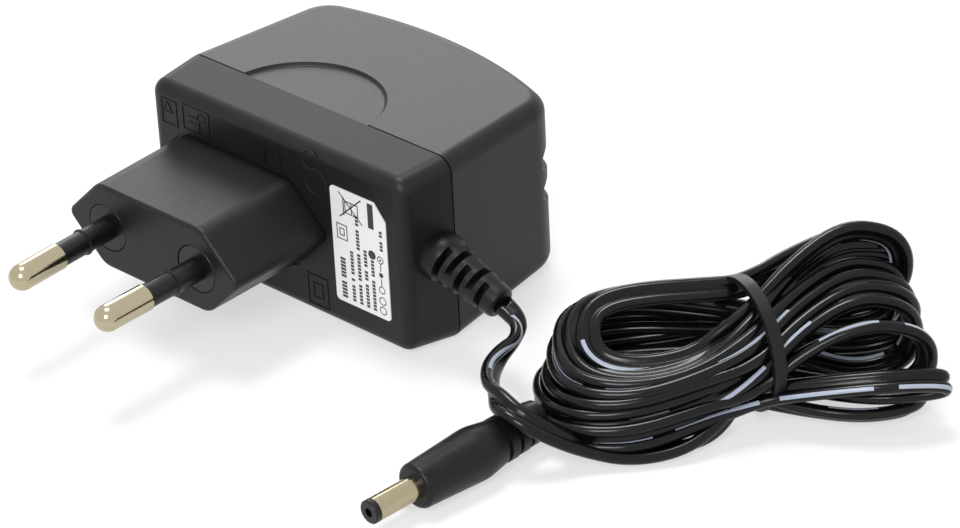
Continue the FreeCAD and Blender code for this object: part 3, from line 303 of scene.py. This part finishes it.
def hankPoints():
    # the turns in the hank's own frame, then turned and moved to where it lies; other marks the points of a
    # lobe where the cord has made a half turn, so that the stripe shows on its other core
    outs, backs = hank["passesOut"], hank["passesBack"]
    lobes = []
    for index, right in enumerate(hank["right"]):
        lobes.append((1, right, outs[index], backs[index]))
        if index < len(hank["left"]):
            lobes.append((-1, hank["left"][index], backs[index], outs[index + 1]))
    route, other = [], []
    for side, lobe, before, after in lobes:
        route += lobePoints(side, lobe, before, after)
        facing = Vector((0, after[0], after[1] - hank["tieMiddle"])).normalized()
        route.append((Vector((0, *after)), facing))
        start, stop = lobe.get("other", (0, 0))
        other += [start <= step < stop for step in range(len(route) - len(other))]
    turn = Matrix.Rotation(hank["turn"], 3, "Z")
    centre = Vector((*hank["centre"], 0))
    return [(centre + turn @ point * mm, turn @ facing) for point, facing in route], other


def cordRoute():
    # the cord's control points, the way from core to core at each of them, and the half turns
    turns, turnsOther = hankPoints()
    points = [Vector(place) for place in cord["leadRoute"]] + [point for point, facing in turns]
    facings = [Vector(way) for way in cord["leadFacing"]] + [facing for point, facing in turns]
    points += [Vector(place) for place in cord["tailRoute"]]
    facings += [Vector(way) for way in cord["tailFacing"]]
    for index, facing in enumerate(facings):
        facing.normalize()
        if index and facing.dot(facings[index - 1]) < 0:
            facing.negate()
    other = [True] * len(cord["leadRoute"]) + turnsOther + [False] * len(cord["tailRoute"])
    return points, facings, other


def splineThrough(points, name):
    # points of the smooth line with these control points
    curve = bpy.data.curves.new(name, "CURVE")
    curve.dimensions = "3D"
    spline = curve.splines.new("NURBS")
    spline.points.add(len(points) - 1)
    for place, point in zip(spline.points, points):
        place.co = (*point, 1)
    spline.order_u = 3
    spline.use_endpoint_u = True
    spline.resolution_u = cord["smoothSteps"]
    holder = bpy.data.objects.new(name, curve)
    bpy.context.scene.collection.objects.link(holder)
    bpy.context.view_layer.update()
    mesh = bpy.data.meshes.new_from_object(holder.evaluated_get(bpy.context.evaluated_depsgraph_get()))
    line = [vertex.co.copy() for vertex in mesh.vertices]
    bpy.data.objects.remove(holder)
    bpy.data.meshes.remove(mesh)
    bpy.data.curves.remove(curve)
    return line


def cordSection():
    # two round cores side by side, open towards each other where the web joins them: (across, up) in mm
    radius = cord["coreRadius"]
    reach = cord["width"] / 2 - radius
    opening = math.asin(cord["webHalf"] / radius)
    section = []
    for start, centre in ((0, reach), (math.pi, -reach)):
        for step in range(cord["sectionSteps"] + 1):
            angle = start - math.pi + opening + (2 * math.pi - 2 * opening) * step / cord["sectionSteps"]
            section.append((centre + radius * math.cos(angle), radius * math.sin(angle)))
    return section


def sweepSection(line, edge, section):
    # the section's corners at each point of the line, the first core towards the edge, and faces between them
    count, last = len(section), len(line) - 1
    vertices, faces = [], []
    for index, at in enumerate(line):
        ahead = (line[min(index + 1, last)] - line[max(index - 1, 0)]).normalized()
        across = edge[index] - at
        across = (across - ahead * across.dot(ahead)).normalized()
        up = ahead.cross(across)
        vertices += [at + (across * aside + up * above) * mm for aside, above in section]
    for ring in range(0, last * count, count):
        for step in range(count):
            nextStep = (step + 1) % count
            faces.append((ring + step, ring + nextStep, ring + count + nextStep, ring + count + step))
    faces.append(tuple(range(count - 1, -1, -1)))
    faces.append(tuple(range(last * count, (last + 1) * count)))
    mesh = bpy.data.meshes.new("flat_cord")
    mesh.from_pydata(vertices, [], faces)
    return mesh


def layAlongCord(mesh, lengths, other, count):
    # UV for the stripe: metres along the cord, and share of the way round, where a half turn changes the core
    layer = mesh.uv_layers.new(name="alongCord")
    for face in mesh.polygons:
        face.use_smooth = len(face.vertices) == 4
        steps = [vertex % count for vertex in face.vertices]
        halfTurn = 0.0
        if other[min(face.vertices) // count // cord["smoothSteps"]]:
            halfTurn = 0.5 if 0 < max(steps) <= count / 2 else -0.5
        for corner, step in zip(face.loop_indices, steps):
            ring = mesh.loops[corner].vertex_index // count
            share = 1.0 if step == 0 and max(steps) > count / 2 else step / count
            layer.data[corner].uv = (lengths[ring] + stripe["firstDash"] * mm, share + halfTurn)


# the stripe in millimetres along the cord, and as shares of the way round it
stripe = {"dash": 13.0, "gap": 3.3, "firstDash": 13.1, "middle": 0.135, "half": 0.028}

# extruded PVC: a wet gloss in slow waves, with the pale polarity stripe printed in dashes along one core
stripedCordPvc = {
    "colours": ["#0c0c0d", "#a3acbc"], "roughness": (0.15, 0.23), "grain": 1.4, "ior": 1.53, "level": 0.22}


def stripePattern(tree, alongCord):
    # 1 in the dashes, 0 elsewhere
    parts = addNode(tree, "ShaderNodeSeparateXYZ", {}, {"Vector": alongCord})
    along = addNode(tree, "ShaderNodeMath", {"operation": "MODULO"}, {
        0: parts.outputs["X"], 1: (stripe["dash"] + stripe["gap"]) * mm})
    inDash = addNode(tree, "ShaderNodeMath", {"operation": "LESS_THAN"}, {
        0: along.outputs[0], 1: stripe["dash"] * mm})
    offMiddle = addNode(tree, "ShaderNodeMath", {"operation": "SUBTRACT"}, {
        0: parts.outputs["Y"], 1: stripe["middle"]})
    distance = addNode(tree, "ShaderNodeMath", {"operation": "ABSOLUTE"}, {0: offMiddle.outputs[0]})
    inWidth = addNode(tree, "ShaderNodeMath", {"operation": "LESS_THAN"}, {
        0: distance.outputs[0], 1: stripe["half"]})
    printed = addNode(tree, "ShaderNodeMath", {"operation": "MULTIPLY"}, {
        0: inDash.outputs[0], 1: inWidth.outputs[0]})
    return printed.outputs[0]


def makeCord():
    points, facings, other = cordRoute()
    line = splineThrough(points, "cordLine")
    beside = [point + facing * cord["coreRadius"] * mm for point, facing in zip(points, facings)]
    edge = splineThrough(beside, "cordEdge")
    lengths = [0.0]
    for before, after in zip(line, line[1:]):
        lengths.append(lengths[-1] + (after - before).length)
    section = cordSection()
    mesh = sweepSection(line, edge, section)
    layAlongCord(mesh, lengths, other, len(section))
    mesh.update()
    piece = bpy.data.objects.new("flat_cord", mesh)
    bpy.context.scene.collection.objects.link(piece)
    piece.data.materials.append(makeFinish("extrudedPvcStriped", stripedCordPvc, stripePattern))
    return piece, line, lengths[-1]


flatCord, cordLine, cordLength = makeCord()
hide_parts("cord_lead", "cord_bundle", "cord_tail")
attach(flatCord, "root")
print("cord: %.3f m in %d points" % (cordLength, len(cordLine)))


# the label's print and the housing's moulded marks, in plain bars, boxes and rings

# millimetres from the label's lower left corner: across it, then up it
labelPrint = {
    "corner": (4.6, 5.48), "face": -0.765, "depth": 0.03, "line": 0.17,
    # a row of short blocks reads as a line of print: across, up, blocks in each word, breadth
    "rows": [(1.75, 0.8, (5, 6), 1.0), (3.6, 0.8, (5, 1, 7), 0.62), (5.0, 0.8, (6, 8, 6, 3), 0.62),
             (6.35, 0.8, (7, 3, 5), 0.62), (7.7, 0.8, (9, 5), 0.62), (9.65, 11.4, (3, 2), 0.55)],
    "blockLength": 0.42, "pitch": 0.57,
    # across, up, wide, high
    "boxes": [(1.95, 11.85, 2.1, 2.6), (1.95, 11.85, 1.0, 1.25), (4.1, 16.3, 2.6, 2.1)],
    # across, up, wide, high, turn in degrees
    "bars": [(7.85, 16.5, 1.1, 4.1, 0), (3.9, 16.4, 0.2, 6.0, 47), (3.9, 16.4, 0.2, 6.0, -47),
             (2.55, 16.3, 0.22, 3.0, 0), (4.1, 16.3, 0.16, 2.1, 0),
             (9.3, 6.05, 0.16, 1.3, 0), (9.3, 8.55, 0.16, 1.3, 0)],
    # across, up, radius
    "rings": [(9.3, 4.8, 0.55), (9.3, 9.8, 0.55), (9.3, 1.35, 0.62), (9.3, 2.95, 0.62)],
    "discs": [(7.7, 10.1, 0.72), (9.3, 7.3, 0.4), (9.3, 9.8, 0.2)],
}
# screen ink on the label: flat charcoal, slightly duller than the film round it
screenInkCharcoal = {"colours": ["#242427", "#38383c"], "roughness": (0.5, 0.5), "grain": 0.6, "ior": 1.5}

# millimetres across and up the housing's front face, from the middle of the part and from the floor
mouldedMarks = {
    "corner": (0, 0), "face": -0.615, "depth": 0.22, "line": 0.24,
    "boxes": [(-28.2, 24.8, 3.3, 4.3), (-22.6, 25.2, 5.6, 4.3), (-6.9, 24.9, 3.2, 3.0),
              (0.55, 5.0, 4.2, 5.2), (0.55, 5.0, 2.0, 2.6)],
    "bars": [(-29.0, 25.6, 0.2, 1.9, 26), (-28.0, 25.6, 0.2, 1.9, -26), (-28.5, 24.75, 1.7, 0.2, 0),
             (-22.0, 24.4, 0.3, 2.0, 0), (-23.2, 25.6, 2.0, 0.25, 0), (-23.4, 24.6, 1.6, 0.25, 0),
             (-9.0, 25.0, 0.22, 3.4, -27)],
    "rings": [(-21.4, 26.0, 0.7), (0.9, 26.9, 1.6), (1.6, 23.6, 2.1)],
}
# how finely rings and discs are divided: round their circle, and round a ring's line
roundSteps, lineSteps = 32, 8


def addBar(across, up, wide, high, turn, piece):
    # a thin bar standing half out of a face that looks to the front
    left, low = piece["corner"]
    bpy.ops.mesh.primitive_cube_add(
        size=1, location=((left + across) * mm, piece["face"] * mm, (low + up) * mm),
        rotation=(0, math.radians(turn), 0), scale=(wide * mm, piece["depth"] * mm, high * mm))
    return [bpy.context.object]


def addBox(across, up, wide, high, piece):
    # the outline of a box in four bars
    line = piece["line"]
    bars = []
    for side in (-1, 1):
        bars += addBar(across + side * (wide - line) / 2, up, line, high, 0, piece)
        bars += addBar(across, up + side * (high - line) / 2, wide - 2 * line, line, 0, piece)
    return bars


def addRing(across, up, radius, piece):
    left, low = piece["corner"]
    bpy.ops.mesh.primitive_torus_add(
        location=((left + across) * mm, piece["face"] * mm, (low + up) * mm), rotation=(math.pi / 2, 0, 0),
        major_radius=radius * mm, minor_radius=piece["line"] / 2 * mm, major_segments=roundSteps,
        minor_segments=lineSteps)
    bpy.context.object.scale = (1, 1, piece["depth"] / piece["line"])
    return [bpy.context.object]


def addDisc(across, up, radius, piece):
    left, low = piece["corner"]
    bpy.ops.mesh.primitive_cylinder_add(
        vertices=roundSteps, radius=radius * mm, depth=piece["depth"] * mm, rotation=(math.pi / 2, 0, 0),
        location=((left + across) * mm, piece["face"] * mm, (low + up) * mm))
    return [bpy.context.object]


def addRow(across, up, words, breadth, piece):
    # words of equal blocks, one block apart
    bars = []
    at = up + piece["blockLength"] / 2
    for blocks in words:
        for block in range(blocks):
            bars += addBar(across, at, breadth, piece["blockLength"], 0, piece)
            at += piece["pitch"]
        at += piece["pitch"]
    return bars


def makeMarks(name, piece, material):
    bpy.ops.object.select_all(action="DESELECT")
    marks = []
    kinds = {"rows": addRow, "boxes": addBox, "bars": addBar, "rings": addRing, "discs": addDisc}
    for kind, add in kinds.items():
        for mark in piece.get(kind, []):
            marks += add(*mark, piece)
    bpy.ops.object.select_all(action="DESELECT")
    for mark in marks:
        mark.select_set(True)
    bpy.context.view_layer.objects.active = marks[0]
    bpy.ops.object.join()
    bpy.ops.object.transform_apply(location=True, rotation=True, scale=True)
    whole = bpy.context.object
    whole.name = name
    whole.data.materials.append(material)
    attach(whole, "root")


makeMarks("labelPrint", labelPrint, makeFinish("screenInkCharcoal", screenInkCharcoal))
makeMarks("mouldedMarks", mouldedMarks, materials["mouldedAbsBlack"])
print("print and moulded marks made")


# camera, floor and lights

camera = {
    "place": (0.386861, -0.368183, 0.330974), "direction": (-0.592876, 0.616399, -0.518218),
    "roll": math.radians(-2.915), "lens": 161.64, "nearest": 0.01,
}
studio = {
    "floorSize": 6.0, "floorHeight": -0.00003, "floorColour": "#f4f4f4", "floorRoughness": 0.9,
    "floorOwnLight": 0.6, "worldStrength": 0.42,
    # name: size, place, power
    "lamps": {
        "backLight": (0.45, (-0.62, 0.62, 0.36), 2.5),
        "topLight": (0.28, (-0.15, 0.10, 0.85), 5.0),
        "fillLight": (0.3, (0.35, -0.6, 0.55), 3.8),
    },
}


def makeFloor():
    # a matt pale sweep that glows a little to the camera and in reflections: it stays plain and keeps shadows
    bpy.ops.object.select_all(action="DESELECT")
    bpy.ops.mesh.primitive_plane_add(size=studio["floorSize"], location=(0, 0, studio["floorHeight"]))
    floor = bpy.context.object
    floor.name = "floor"
    material, tree = startMaterial("paleSweep")
    matt = addNode(tree, "ShaderNodeBsdfPrincipled", {}, {
        "Base Color": toLinear(studio["floorColour"]), "Roughness": studio["floorRoughness"]})
    glow = addNode(tree, "ShaderNodeEmission", {}, {"Color": (1, 1, 1, 1), "Strength": 1.0})
    rays = addNode(tree, "ShaderNodeLightPath")
    seen = addNode(tree, "ShaderNodeMath", {"operation": "MAXIMUM"}, {
        0: rays.outputs["Is Camera Ray"], 1: rays.outputs["Is Glossy Ray"]})
    share = addNode(tree, "ShaderNodeMath", {"operation": "MULTIPLY"}, {
        0: seen.outputs[0], 1: studio["floorOwnLight"]})
    mix = addNode(tree, "ShaderNodeMixShader", {}, {
        0: share.outputs[0], 1: matt.outputs[0], 2: glow.outputs[0]})
    addNode(tree, "ShaderNodeOutputMaterial", {}, {"Surface": mix.outputs[0]})
    floor.data.materials.append(material)


def makeWorld():
    # plain white to the camera and in reflections, and a softer light on everything else
    world = bpy.context.scene.world or bpy.data.worlds.new("studio")
    bpy.context.scene.world = world
    world.use_nodes = True
    tree = world.node_tree
    tree.nodes.clear()
    rays = addNode(tree, "ShaderNodeLightPath")
    direct = addNode(tree, "ShaderNodeMath", {"operation": "MAXIMUM"}, {
        0: rays.outputs["Is Camera Ray"], 1: rays.outputs["Is Transmission Ray"]})
    seen = addNode(tree, "ShaderNodeMath", {"operation": "MAXIMUM"}, {
        0: direct.outputs[0], 1: rays.outputs["Is Glossy Ray"]})
    strength = addNode(tree, "ShaderNodeMapRange", {}, {
        "Value": seen.outputs[0], "To Min": studio["worldStrength"], "To Max": 1.0})
    light = addNode(tree, "ShaderNodeBackground", {}, {
        "Color": (1, 1, 1, 1), "Strength": strength.outputs["Result"]})
    addNode(tree, "ShaderNodeOutputWorld", {}, {"Surface": light.outputs[0]})


def makeLamps():
    for name, (size, place, power) in studio["lamps"].items():
        lamp = bpy.data.lights.new(name, "AREA")
        lamp.shape = "SQUARE"
        lamp.size = size
        lamp.energy = power
        holder = bpy.data.objects.new(name, lamp)
        holder.location = place
        holder.rotation_euler = (-Vector(place)).to_track_quat("-Z", "Y").to_euler()
        bpy.context.scene.collection.objects.link(holder)


def makeCamera():
    lens = bpy.data.cameras.new("camera")
    lens.lens = camera["lens"]
    lens.clip_start = camera["nearest"]
    holder = bpy.data.objects.new("camera", lens)
    holder.location = camera["place"]
    aim = Vector(camera["direction"]).to_track_quat("-Z", "Y")
    holder.rotation_euler = (aim @ Quaternion((0, 0, 1), camera["roll"])).to_euler()
    bpy.context.scene.collection.objects.link(holder)
    bpy.context.scene.camera = holder


makeFloor()
makeWorld()
makeLamps()
makeCamera()
bpy.context.scene.view_settings.view_transform = "Standard"
print("studio and camera ready")
